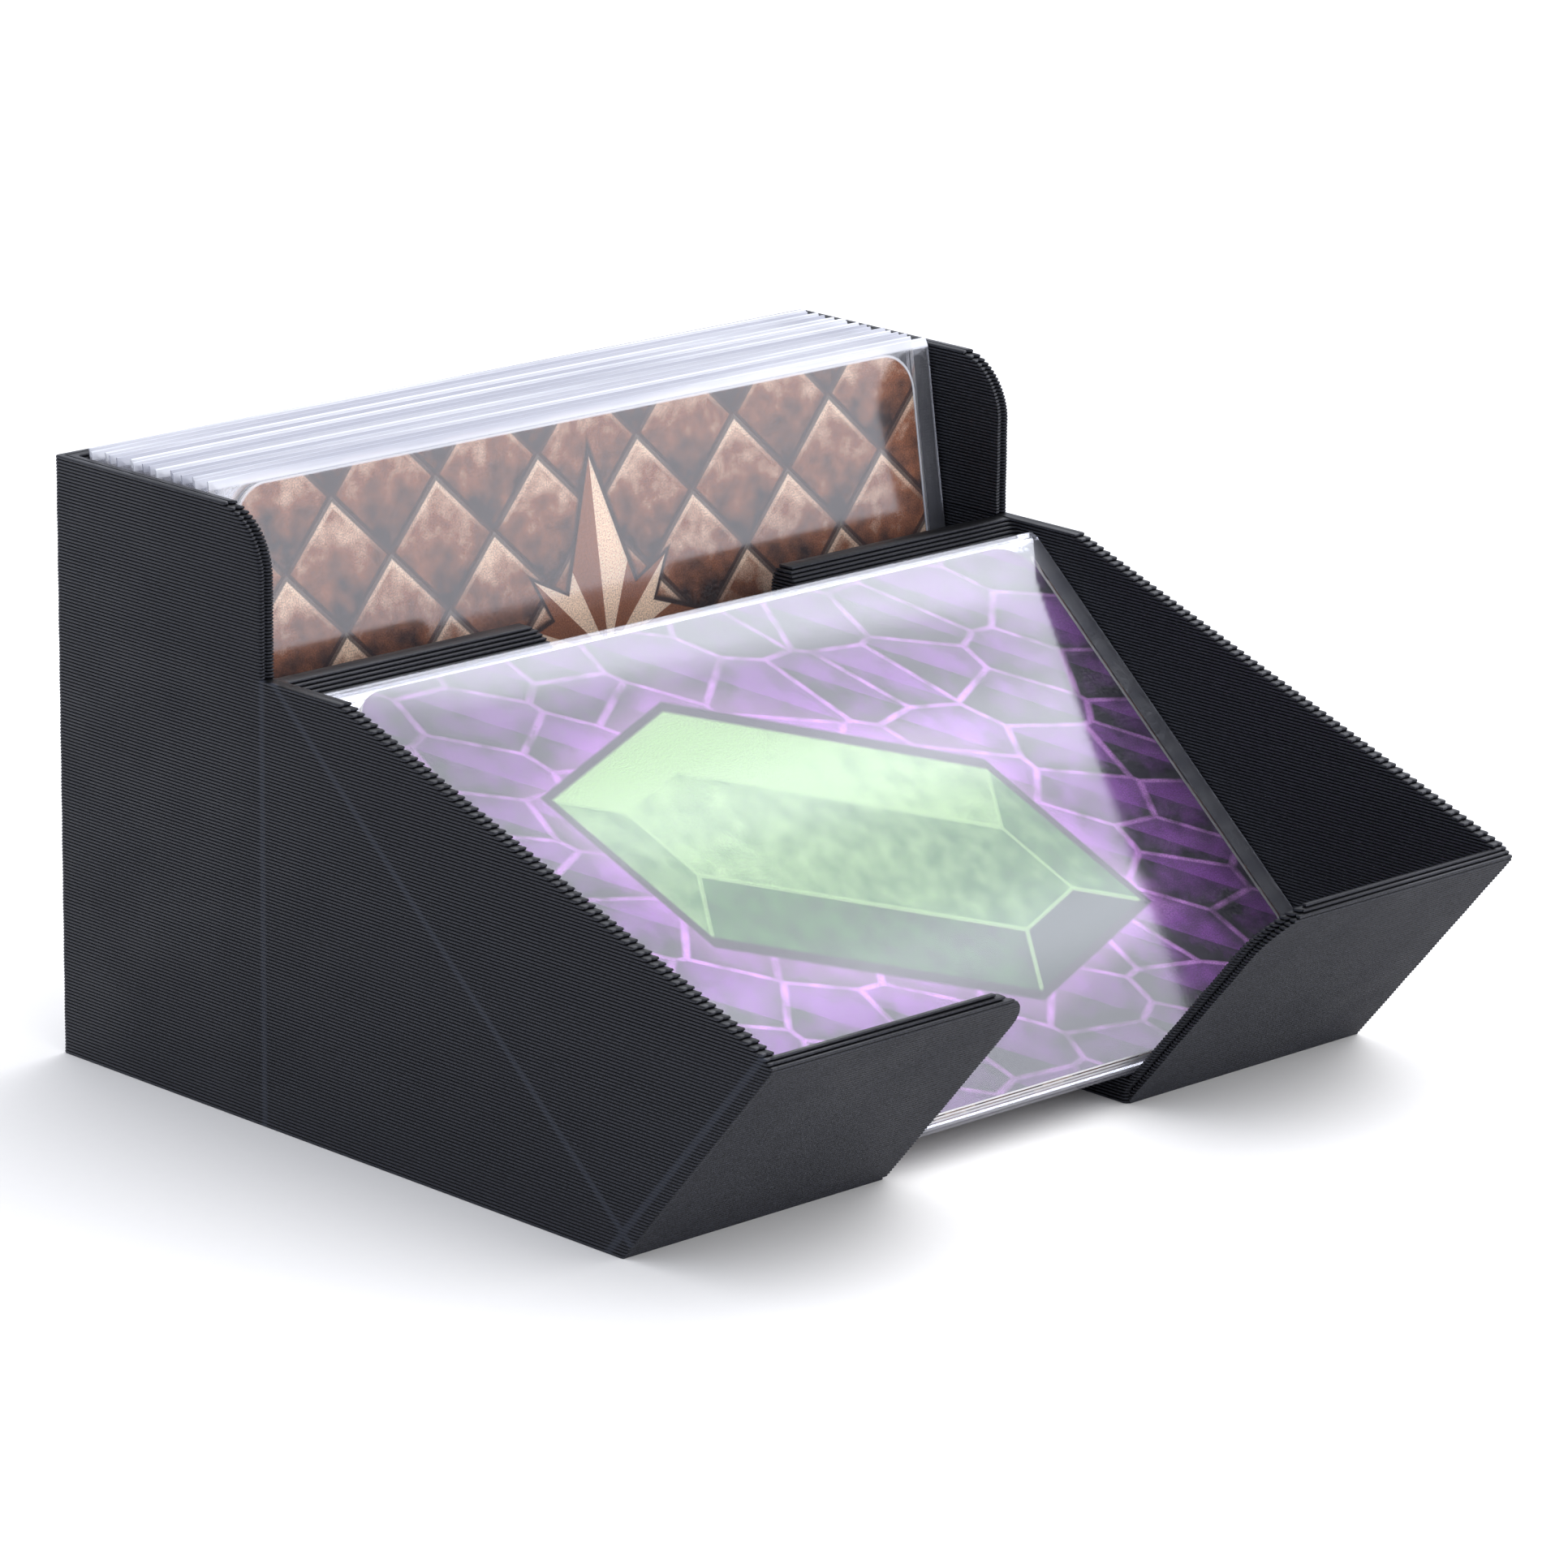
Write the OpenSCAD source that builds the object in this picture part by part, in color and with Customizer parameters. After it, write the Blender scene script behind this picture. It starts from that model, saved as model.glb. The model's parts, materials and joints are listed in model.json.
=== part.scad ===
// Card holder for sleeved mini cards: an upright draw box at the back and a sloping
// discard tray with a leaning front lip, printed as one piece, with its sleeved cards.
// X runs across the holder, Y to its back and Z up. The origin lies on the table,
// below the middle of the holder.

/* [Card] */
// Long side of a card
card_w = 68; // [50:1:100]
// Short side of a card
card_h = 44; // [36:1:70]
// Thickness of the card stock
card_t = 0.32; // [0.2:0.02:0.5]
// Corner radius of a card
card_corner = 3; // [1:0.5:6]

/* [Sleeve] */
// Clear film past the card at each short side
sleeve_side = 2; // [1.2:0.1:5]
// Clear film past the card at each long side
sleeve_edge = 0.8; // [0.6:0.1:4]
// Thickness of one film
film_t = 0.06; // [0.03:0.01:0.12]
// Width of the welded seams
seam_w = 0.4; // [0.2:0.05:0.5]
// Air between the card and each film
pocket_clear = 0.03; // [0.02:0.01:0.1]

/* [Piles] */
// Sleeved cards standing in the draw box
draw_count = 16; // [1:1:20]
// Distance from one standing card to the next
draw_pitch = 0.9; // [0.7:0.05:1]
// Sleeved cards lying in the discard tray
discard_count = 3; // [1:1:8]
// Air between lying cards
stack_gap = 0.03; // [0.02:0.01:0.2]
// How far cards sit out of line sideways
pile_jog = 0.3; // [0:0.05:0.35]
// Air between a pile and the wall it leans on or rests against
pile_clear = 0.3; // [0.2:0.05:0.6]
// Air below a resting card
rest_clear = 0.05; // [0.02:0.01:0.2]

/* [Holder] */
// Thickness of the upright walls
wall = 1.2; // [0.8:0.1:3]
// Thickness of the base
base_t = 1; // [0.75:0.25:3]
// Space between a pile and each side wall
side_clear = 0.5; // [0.4:0.1:2]
// Depth of the draw box, front to back
draw_depth = 22; // [18:0.5:30]
// How far the rim stays below a sleeve that stands upright in the box
rim_drop = 1; // [0:0.25:6]
// Radius of the rim's front corners
rim_round = 5; // [1:0.5:8]

/* [Tray] */
// Slope of the tray's floor in degrees
floor_angle = 40.5; // [34:0.5:46]
// Floor left free above a lying sleeve
tray_room = 2.9; // [1:0.1:8]
// Height of the tray's lowest inner corner
tray_low = 1.9; // [1.5:0.1:5]
// Height of the lip, square to the floor
lip_h = 21; // [10:0.5:24]
// Thickness of the lip
lip_t = 1.2; // [0.8:0.1:3]
// Level stretch of the side walls in front of the draw box
shoulder = 7.9; // [3:0.1:12]

/* [Finger openings] */
// Width of the gap in the lip
gap_w = 24.8; // [16:0.2:36]
// Radius where the gap meets the top of the lip
gap_round = 5; // [1:0.5:8]
// How far the gap runs back under the tray
gap_reach = 20; // [19:0.5:26]
// Width of the notch in the partition
notch_w = 24.8; // [16:0.2:36]
// Depth of the notch
notch_depth = 10; // [6:0.5:12]
// Radius where the notch meets the top of the partition
notch_round = 1.5; // [0.5:0.25:3]
// Radius at the bottom of the notch
notch_corner = 4; // [1:0.5:5]

/* [Hidden] */
$fn = 64;
// Extra length that carries a cut past the face it opens
past = 1;

sleeve_w = card_w + 2 * sleeve_side;
sleeve_h = card_h + 2 * sleeve_edge;
pocket_t = card_t + 2 * pocket_clear;
sleeve_t = pocket_t + 2 * film_t;
// Distance from a seam's outer edge to where the pocket is at its full thickness
seam_slope = sleeve_edge - pocket_clear;

inner_w = sleeve_w + 2 * side_clear;
body_w = inner_w + 2 * wall;
body_h = base_t + sleeve_h - rim_drop;

floor_len = sleeve_h + tray_room;
partition_h = tray_low + floor_len * sin(floor_angle);
lip_lean = lip_h * sin(floor_angle);
body_d = 2 * wall + draw_depth + floor_len * cos(floor_angle) + lip_lean + lip_t * cos(floor_angle);

// Faces of the holder from back to front
back_y = body_d / 2;
box_back_y = back_y - wall;
box_front_y = box_back_y - draw_depth;
shoulder_y = box_front_y - shoulder;
floor_top_y = box_front_y - wall;
tray_y = floor_top_y - floor_len * cos(floor_angle);

// Corners of the lip as [y, z]
lip_inner_top = [tray_y - lip_lean, tray_low + lip_h * cos(floor_angle)];
lip_outer_top = lip_inner_top - lip_t * [cos(floor_angle), sin(floor_angle)];
lip_foot_y = lip_outer_top[0] + lip_outer_top[1] * tan(floor_angle);

// The standing pile leans back as far as the room that it leaves in the box allows
pile_t = (draw_count - 1) * draw_pitch + sleeve_t;
lean = asin((draw_depth - 2 * pile_clear - pile_t) / sleeve_h);
draw_foot_y = box_front_y + pile_clear + sleeve_t / 2;
draw_foot_z = base_t + rest_clear + sleeve_t / 2 * sin(lean);

function two_digits(i) = str(i < 10 ? "0" : "", i);
function numbered(name, count) = [for (i = [1:count]) str(name, two_digits(i))];
// Sideways place of the i-th card of a pile, spread by the golden angle
function jog(i) = pile_jog * sin(137.5 * i);

// Carries a [y, z] outline across the holder
module across(width) {
    rotate([90, 0, 90])
        linear_extrude(width, center = true)
            children();
}

// Waste outside a round of radius r in the corner at the origin, on the side of +x and +y
module corner_waste(r) {
    difference() {
        translate([-past, -past]) square(r + past);
        translate([r, r]) circle(r);
    }
}

// A pair of waste corners that flare the mouth of an opening of this width at height top
module flared_mouth(width, r, top) {
    for (side = [0, 1])
        mirror([side, 0])
            translate([width / 2, top])
                mirror([0, 1])
                    corner_waste(r);
}

// Frame of the tray: origin in its lowest corner, Y up the floor and Z along the lip
module in_tray() {
    translate([0, tray_y, tray_low])
        rotate([floor_angle, 0, 0])
            children();
}

// Side view of the whole holder
module side_profile() {
    difference() {
        polygon([
            [back_y, 0],
            [back_y, body_h],
            [box_front_y, body_h],
            [box_front_y, partition_h],
            [shoulder_y, partition_h],
            lip_inner_top,
            lip_outer_top,
            [lip_foot_y, 0]
        ]);
        translate([box_front_y, body_h])
            mirror([0, 1])
                corner_waste(rim_round);
    }
}

// Side view of the draw box and the tray, open at the top
module inside_profile() {
    open_h = body_h + past;
    polygon([
        [box_back_y, base_t],
        [box_back_y, open_h],
        [tray_y - (open_h - tray_low) * tan(floor_angle), open_h],
        [tray_y, tray_low],
        [floor_top_y, partition_h],
        [box_front_y, partition_h],
        [box_front_y, base_t]
    ]);
}

// Upright slot with a round end, through the lip, the floor and the base
module finger_slot() {
    slot_front_y = lip_outer_top[0] - past;
    round_y = lip_foot_y + gap_reach - gap_w / 2;
    translate([0, 0, -past])
        linear_extrude(partition_h + past) {
            translate([-gap_w / 2, slot_front_y])
                square([gap_w, round_y - slot_front_y]);
            translate([0, round_y])
                circle(d = gap_w);
        }
}

// Rounds the lip's two top corners at the gap
module lip_rounds() {
    in_tray()
        translate([0, past, 0])
            rotate([90, 0, 0])
                linear_extrude(lip_t + 2 * past)
                    flared_mouth(gap_w, gap_round, lip_h);
}

// Outline of the partition's notch in the X-Z plane
module notch_outline() {
    bottom = partition_h - notch_depth;
    translate([-notch_w / 2, bottom + notch_corner])
        square([notch_w, notch_depth - notch_corner + past]);
    translate([-notch_w / 2 + notch_corner, bottom])
        square([notch_w - 2 * notch_corner, notch_depth]);
    for (side = [-1, 1])
        translate([side * (notch_w / 2 - notch_corner), bottom + notch_corner])
            circle(notch_corner);
    flared_mouth(notch_w, notch_round, partition_h);
}

// Notch that runs from the draw box out through the sloping floor
module notch() {
    run = wall + notch_depth / tan(floor_angle) + 2 * past;
    translate([0, box_front_y + past, 0])
        rotate([90, 0, 0])
            linear_extrude(run + past)
                notch_outline();
}

// The printed holder
module holder() {
    color("#26262a")
        difference() {
            across(body_w) side_profile();
            across(inner_w) inside_profile();
            finger_slot();
            lip_rounds();
            notch();
        }
}

// Section of a sleeve from its lower to its upper seam, as [y, z]
module sleeve_section() {
    half = sleeve_t / 2;
    full_top = sleeve_h - seam_slope;
    polygon([
        [-film_t, 0],
        [-half, seam_slope],
        [-half, full_top],
        [-film_t, sleeve_h],
        [film_t, sleeve_h],
        [half, full_top],
        [half, seam_slope],
        [film_t, 0]
    ]);
}

// Section of the pocket between the two films
module pocket_section() {
    half = pocket_t / 2;
    full_top = sleeve_h - seam_slope;
    polygon([
        [0, seam_w],
        [-half, seam_slope],
        [-half, full_top],
        [0, sleeve_h - seam_w],
        [half, full_top],
        [half, seam_slope]
    ]);
}

// A clear sleeve that stands on its lower seam, open at its right-hand short side
module sleeve() {
    closed_x = -sleeve_w / 2;
    half = sleeve_t / 2;
    pocket_half = pocket_t / 2;
    difference() {
        intersection() {
            across(sleeve_w) sleeve_section();
            linear_extrude(sleeve_h)
                polygon([
                    [closed_x, -film_t],
                    [closed_x + seam_slope, -half],
                    [-closed_x, -half],
                    [-closed_x, half],
                    [closed_x + seam_slope, half],
                    [closed_x, film_t]
                ]);
        }
        intersection() {
            across(sleeve_w + 2 * past) pocket_section();
            linear_extrude(sleeve_h)
                polygon([
                    [closed_x + seam_w, 0],
                    [closed_x + seam_slope, -pocket_half],
                    [-closed_x + past, -pocket_half],
                    [-closed_x + past, pocket_half],
                    [closed_x + seam_slope, pocket_half]
                ]);
        }
    }
}

// A card with round corners, where it lies in its sleeve
module card() {
    translate([0, card_t / 2, sleeve_edge])
        rotate([90, 0, 0])
            linear_extrude(card_t) {
                translate([-card_w / 2 + card_corner, 0])
                    square([card_w - 2 * card_corner, card_h]);
                translate([-card_w / 2, card_corner])
                    square([card_w, card_h - 2 * card_corner]);
                for (x = [-1, 1], z = [0, 1])
                    translate([
                        x * (card_w / 2 - card_corner),
                        z ? card_h - card_corner : card_corner
                    ])
                        circle(card_corner);
            }
}

// Place of the i-th standing card, counted from the front
module in_draw_box(i) {
    translate([jog(i), draw_foot_y + (i - 1) * draw_pitch, draw_foot_z])
        rotate([-lean, 0, 0])
            children();
}

// Place of the i-th lying card, counted from the floor up
module on_tray(i) {
    in_tray()
        translate([jog(i), pile_clear, rest_clear + sleeve_t / 2 + (i - 1) * (sleeve_t + stack_gap)])
            rotate([-90, 0, 0])
                children();
}

module draw_sleeve(i) {
    color("#dfe2ee", 0.5) in_draw_box(i) sleeve();
}

module draw_card(i) {
    color("#6b4531") in_draw_box(i) card();
}

module discard_sleeve(i) {
    color("#e4e4f0", 0.5) on_tray(i) sleeve();
}

module discard_card(i) {
    color("#7a3f95") on_tray(i) card();
}

holder();
for (i = [1:draw_count]) {
    draw_sleeve(i);
    draw_card(i);
}
for (i = [1:discard_count]) {
    discard_sleeve(i);
    discard_card(i);
}
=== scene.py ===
"""Looks of a printed holder for sleeved mini cards: the layered print, the clear sleeves,
the printed cards and a plain studio. Lengths in this file are metres, in the part's frame."""

import json
import math
from functools import partial

import bpy
import numpy as np
from bpy.props import FloatProperty, FloatVectorProperty, PointerProperty
from mathutils import Matrix, Vector


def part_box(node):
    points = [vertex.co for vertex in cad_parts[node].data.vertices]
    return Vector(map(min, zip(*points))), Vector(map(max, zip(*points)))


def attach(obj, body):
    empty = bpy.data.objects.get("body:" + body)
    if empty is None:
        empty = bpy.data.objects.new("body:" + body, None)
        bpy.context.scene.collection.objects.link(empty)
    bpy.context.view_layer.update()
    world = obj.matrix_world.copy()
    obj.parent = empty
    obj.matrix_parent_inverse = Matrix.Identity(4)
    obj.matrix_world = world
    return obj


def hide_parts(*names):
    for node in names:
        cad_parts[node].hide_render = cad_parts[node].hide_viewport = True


bl_info = {
    "name": "Card holder",
    "version": (1, 0, 0),
    "blender": (4, 5, 0),
    "location": "3D View > Sidebar > Card holder",
    "description": "Dresses a printed card holder with its sleeved cards and a studio",
    "category": "Object",
}

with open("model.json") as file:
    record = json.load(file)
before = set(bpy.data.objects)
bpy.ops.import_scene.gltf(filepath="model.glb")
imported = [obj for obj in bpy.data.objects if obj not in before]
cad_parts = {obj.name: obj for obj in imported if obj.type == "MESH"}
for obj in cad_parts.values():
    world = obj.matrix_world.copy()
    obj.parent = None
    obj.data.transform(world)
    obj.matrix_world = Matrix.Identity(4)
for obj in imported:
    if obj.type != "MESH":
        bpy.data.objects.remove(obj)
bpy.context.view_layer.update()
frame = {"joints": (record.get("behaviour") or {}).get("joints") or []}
HOLDER_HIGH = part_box("holder")[1]
MM = 0.001
# Share of a corner's reach at which a cubic curve's handles draw a circular arc
ARC_HANDLE = 0.5523
# Most that one eased corner takes of an edge
EDGE_SHARE = 0.4
# How far a cutter reaches past what it cuts
PAST = 5 * MM
# Added to a count of repeats: half of one, so that it lies about the middle, and enough to stay positive
MIDDLE = 100.5


def linear(hex_colour):
    """Linear colour, with an alpha of 1, of an sRGB hex value such as "#1a2b3c"."""
    srgb = np.array([int(hex_colour[i:i + 2], 16) for i in (1, 3, 5)]) / 255
    return (*np.where(srgb <= 0.04045, srgb / 12.92, ((srgb + 0.055) / 1.055) ** 2.4), 1.0)


def length(name, description, millimetres):
    """A length property with its default given in millimetres."""
    return FloatProperty(name=name, description=description, default=millimetres * MM,
                         min=0.0, unit="LENGTH", precision=5)


def angle(name, description, degrees):
    """An angle property with its default given in degrees."""
    return FloatProperty(name=name, description=description, default=math.radians(degrees),
                         unit="ROTATION")


def amount(name, description, default):
    """A property that is a plain number."""
    return FloatProperty(name=name, description=description, default=default)


def share(name, description, default):
    """A property from 0 to 1."""
    return FloatProperty(name=name, description=description, default=default,
                         min=0.0, max=1.0, subtype="FACTOR")


def colour(name, description, hex_colour):
    """A colour property with its default given as an sRGB hex value."""
    return FloatVectorProperty(name=name, description=description, subtype="COLOR", size=4,
                               default=linear(hex_colour), min=0.0, max=1.0)


class HolderSettings(bpy.types.PropertyGroup):
    """Sizes and colour of the printed holder."""

    wall: length("Wall", "Thickness of the upright walls", 1.2)
    base: length("Base", "Thickness of the base", 1.0)
    box_depth: length("Draw box depth", "Room in the draw box, front to back", 22)
    rim_round: length("Rim round", "Radius of the rim's front corners", 5)
    slope: angle("Floor slope", "Slope of the tray's floor", 40.5)
    floor_length: length("Floor length", "Length of the sloping floor", 48.5)
    tray_low: length("Tray corner", "Height of the tray's lowest inner corner", 1.9)
    lip_height: length("Lip height", "Height of the lip, square to the floor", 21)
    lip_thickness: length("Lip thickness", "Thickness of the lip", 1.2)
    shoulder: length("Shoulder", "Level stretch of wall in front of the draw box", 7.9)
    gap: length("Finger gap", "Width of the gap in the lip", 24.8)
    gap_round: length("Gap round", "Radius where the gap meets the top of the lip", 5)
    gap_reach: length("Gap reach", "How far the gap runs back under the tray", 20)
    notch: length("Notch", "Width of the notch in the partition", 24.8)
    notch_depth: length("Notch depth", "Depth of the notch in the partition", 10)
    notch_round: length("Notch round", "Radius where the notch meets the partition's top", 1.5)
    notch_corner: length("Notch corner", "Radius at the bottom of the notch", 4)
    layer: length("Layer", "Height of one printed layer", 0.25)
    groove: length("Groove", "Depth of the groove between two layers", 0.09)
    bead_groove: length("Bead groove", "Depth of the groove between a wall's two lines", 0.4)
    # Painted light and shade: the colour in the grooves is painted shade, and the colour on the beads'
    # backs is a painted highlight
    black: colour("Filament", "Colour of the filament in the grooves", "#040405")
    bead: colour("Bead", "Colour of the filament on the backs of the beads", "#34353b")
    # Painted highlight: the colour of the lighter joint lines
    joint: colour("Joint line", "Colour of the lines where the inner walls join the sides", "#2b2d33")


class SleeveSettings(bpy.types.PropertyGroup):
    """Sizes and look of the clear sleeves."""

    width: length("Width", "Long side of a sleeve", 72)
    height: length("Height", "Short side of a sleeve", 45.6)
    thickness: length("Thickness", "Thickness of a sleeve with its card", 0.5)
    film: length("Film", "Thickness of one film", 0.06)
    seam: length("Seam", "Width of the welded seams", 0.4)
    seam_slope: length("Seam slope", "From a seam's edge to the pocket's full thickness", 0.77)
    bow: length("Bow", "How far a standing sleeve may bow at its top", 0.22)
    lift: length("Lift", "How far the film of the uppermost lying sleeve stands off its card", 0.18)
    wave: length("Wave", "Length of the waves in that film", 16.5)
    clear: colour("Clear", "Colour that a film lets through", "#fdfdff")
    tint: colour("Tint", "Colour that a film scatters", "#cccdd5")
    white: colour("White", "Colour of the brightest edges of a film", "#f9f9fa")
    haze: share("Haze", "Share of light that a film scatters over the card", 0.025)
    side_haze: share("Side haze", "Share of light that the welded side scatters", 0.15)
    seam_haze: share("Seam haze", "Share of light that the long welded edges scatter", 0.4)
    # Painted highlight: the bright cut edge of the film
    edge: length("Cut edge", "Width of the bright cut edge of the film", 0.08)
    # Painted highlight: the crease along the card's edge
    crease_haze: share("Crease haze", "Share of light that the film scatters along the card's edge", 0.45)
    # Painted shade: the lying pile's edges are painted less white than the standing pile's, because more
    # light falls on them
    lying: share("Lying edges", "Share of their white that the edges of lying sleeves keep", 0.1)


class CardSettings(bpy.types.PropertyGroup):
    """Sizes and inks of the cards."""

    width: length("Width", "Long side of a card", 68)
    height: length("Height", "Short side of a card", 44)
    thickness: length("Thickness", "Thickness of the card stock", 0.32)
    corner: length("Corner", "Corner radius of a card", 3)
    lozenge: length("Lozenge", "Height of a lozenge on the backs", 10)
    star: length("Star", "Reach of the star's long rays", 16)
    star_rise: length("Star rise", "Height of the star above the card's middle", 4)
    crystal: length("Crystal", "Width of a crystal on the faces", 4.2)
    shard_length: length("Shard length", "Half length of the green shard", 25)
    shard_width: length("Shard width", "Half width of the green shard", 10.5)
    shard_turn: angle("Shard turn", "Turn of the green shard on the card", -24)
    back_dark: colour("Back, dark", "Darkest ink of the backs", "#3a2018")
    back_mid: colour("Back, middle", "Middle ink of the backs", "#a2653f")
    back_light: colour("Back, light", "Lightest ink of the backs", "#fbe3c6")
    face_dark: colour("Face, dark", "Darkest ink of the faces", "#16071f")
    face_mid: colour("Face, middle", "Middle ink of the faces", "#a054b6")
    face_light: colour("Face, light", "Lightest ink of the faces", "#f0a6f8")
    shard_dark: colour("Shard, dark", "Darkest green of the shard", "#0f3322")
    shard_mid: colour("Shard, middle", "Middle green of the shard", "#4b8843")
    shard_light: colour("Shard, light", "Lightest green of the shard", "#aed08f")
    stock: colour("Stock", "Colour of the cut edge", "#e8e4da")


class StageSettings(bpy.types.PropertyGroup):
    """Floor, light and camera."""

    floor: colour("Floor", "Colour of the floor", "#e4e1d9")
    light: amount("Light", "Strength of the studio's light", 1.36)
    bright_side: amount("Bright side", "Extra light from the right", 1.9)
    window: amount("Window", "Extra light from a soft window on the right", 3.2)
    sky: colour("Light colour", "Colour of the studio's light on the left", "#e4ebff")
    lamp: colour("Bright colour", "Colour of the studio's light on the right", "#f1f4ff")
    turn: angle("Camera turn", "Camera's turn about the holder", -44.0286)
    rise: angle("Camera rise", "Camera's angle above the table", 16.0367)
    roll: angle("Camera roll", "Camera's turn about its own axis", 0.6991)
    distance: length("Camera distance", "From the camera to the point that it looks at", 542.775)
    aim: FloatVectorProperty(name="Aim", description="Point that the camera looks at",
                             default=(-2.323 * MM, -2.146 * MM, 22.62 * MM), unit="LENGTH")
    lens: amount("Lens", "Focal length in millimetres", 170.98)


def add(tree, kind, inputs=(), output=0, **settings):
    """Adds a shader node of a kind, which may name its operation too, as in "Math.ADD". Sets its
    settings and its inputs (values, or sockets to link), which come in order or by key, and gives
    an output or, for a node without any, nothing. The inputs of a MapRange are a value, the range
    that it comes from and the range that it is mapped to."""
    kind, _, operation = kind.partition(".")
    made = tree.nodes.new("ShaderNode" + kind)
    if operation:
        made.operation = operation
    for key, value in settings.items():
        setattr(made, key, value)
    by_key = inputs if isinstance(inputs, dict) else dict(enumerate(inputs))
    for key, value in by_key.items():
        if isinstance(value, bpy.types.NodeSocket):
            tree.links.new(value, made.inputs[key])
        else:
            made.inputs[key].default_value = value
    return made.outputs[output] if made.outputs else None


def new_material(name):
    """An empty material, and the function that adds nodes to it."""
    material = bpy.data.materials.new(name)
    material.use_nodes = True
    material.node_tree.nodes.clear()
    return material, partial(add, material.node_tree)


def blend(node, factor, under, over):
    """Mixes two colours: a factor of 0 gives the one under, and 1 the one over it."""
    return node("Mix", {"Factor": factor, 6: under, 7: over}, output=2, data_type="RGBA")


def new_object(name, points, faces, materials):
    """A mesh object of these points and faces, at the origin."""
    mesh = bpy.data.meshes.new(name)
    mesh.from_pydata(points.tolist(), [], faces)
    for material in materials:
        mesh.materials.append(material)
    piece = bpy.data.objects.new(name, mesh)
    bpy.context.scene.collection.objects.link(piece)
    return piece


def tube(rings):
    """Closed skin over rings, an array (rings, points, 3): each ring is joined to the next by
    four-sided faces, and the first and last ring are closed by one face each. The rings are
    turned round if the enclosed volume, the sum of a . (b x c) over the faces, is negative."""
    rows, count = rings.shape[:2]
    ahead = np.roll(rings, -1, axis=1)
    corner, beside, above = rings[:-1], ahead[:-1], ahead[1:]
    hub = rings.mean(axis=(0, 1))
    twist = np.einsum("ijk,ijk->", corner - hub, np.cross(beside - hub, above - hub))
    if twist < 0:
        rings = rings[:, ::-1]
    index = np.arange(rows * count).reshape(rows, count)
    after = np.roll(index, -1, axis=1)
    sides = np.stack([index[:-1], after[:-1], after[1:], index[1:]], axis=-1).reshape(-1, 4)
    return rings.reshape(-1, 3), sides.tolist() + [index[0, ::-1].tolist(), index[-1].tolist()]


def rounded(corners, radius, steps=3):
    """Outlines with their corners eased: in an array (layers, corners, 2), each corner becomes
    a cubic curve from a point one radius before it to a point one radius after it, or less far
    where an edge is short."""
    before = np.roll(corners, 1, axis=1) - corners
    after = np.roll(corners, -1, axis=1) - corners
    room_before = np.linalg.norm(before, axis=2, keepdims=True)
    room_after = np.linalg.norm(after, axis=2, keepdims=True)
    start = corners + before / room_before * np.minimum(radius, EDGE_SHARE * room_before)
    end = corners + after / room_after * np.minimum(radius, EDGE_SHARE * room_after)
    handle_start = start + ARC_HANDLE * (corners - start)
    handle_end = end + ARC_HANDLE * (corners - end)
    t = np.linspace(0, 1, steps)[:, None]
    curves = (start[:, :, None] * (1 - t) ** 3
              + handle_start[:, :, None] * 3 * (1 - t) ** 2 * t
              + handle_end[:, :, None] * 3 * (1 - t) * t ** 2
              + end[:, :, None] * t ** 3)
    return curves.reshape(len(corners), -1, 2)


def outlines(z, corners):
    """Outlines (layers, corners, 2) of layers at heights z, from corners (x, y) whose values may
    differ from layer to layer."""
    return np.stack([np.stack(np.broadcast_arrays(x, y, z)[:2], axis=1) for x, y in corners], axis=1)


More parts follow.
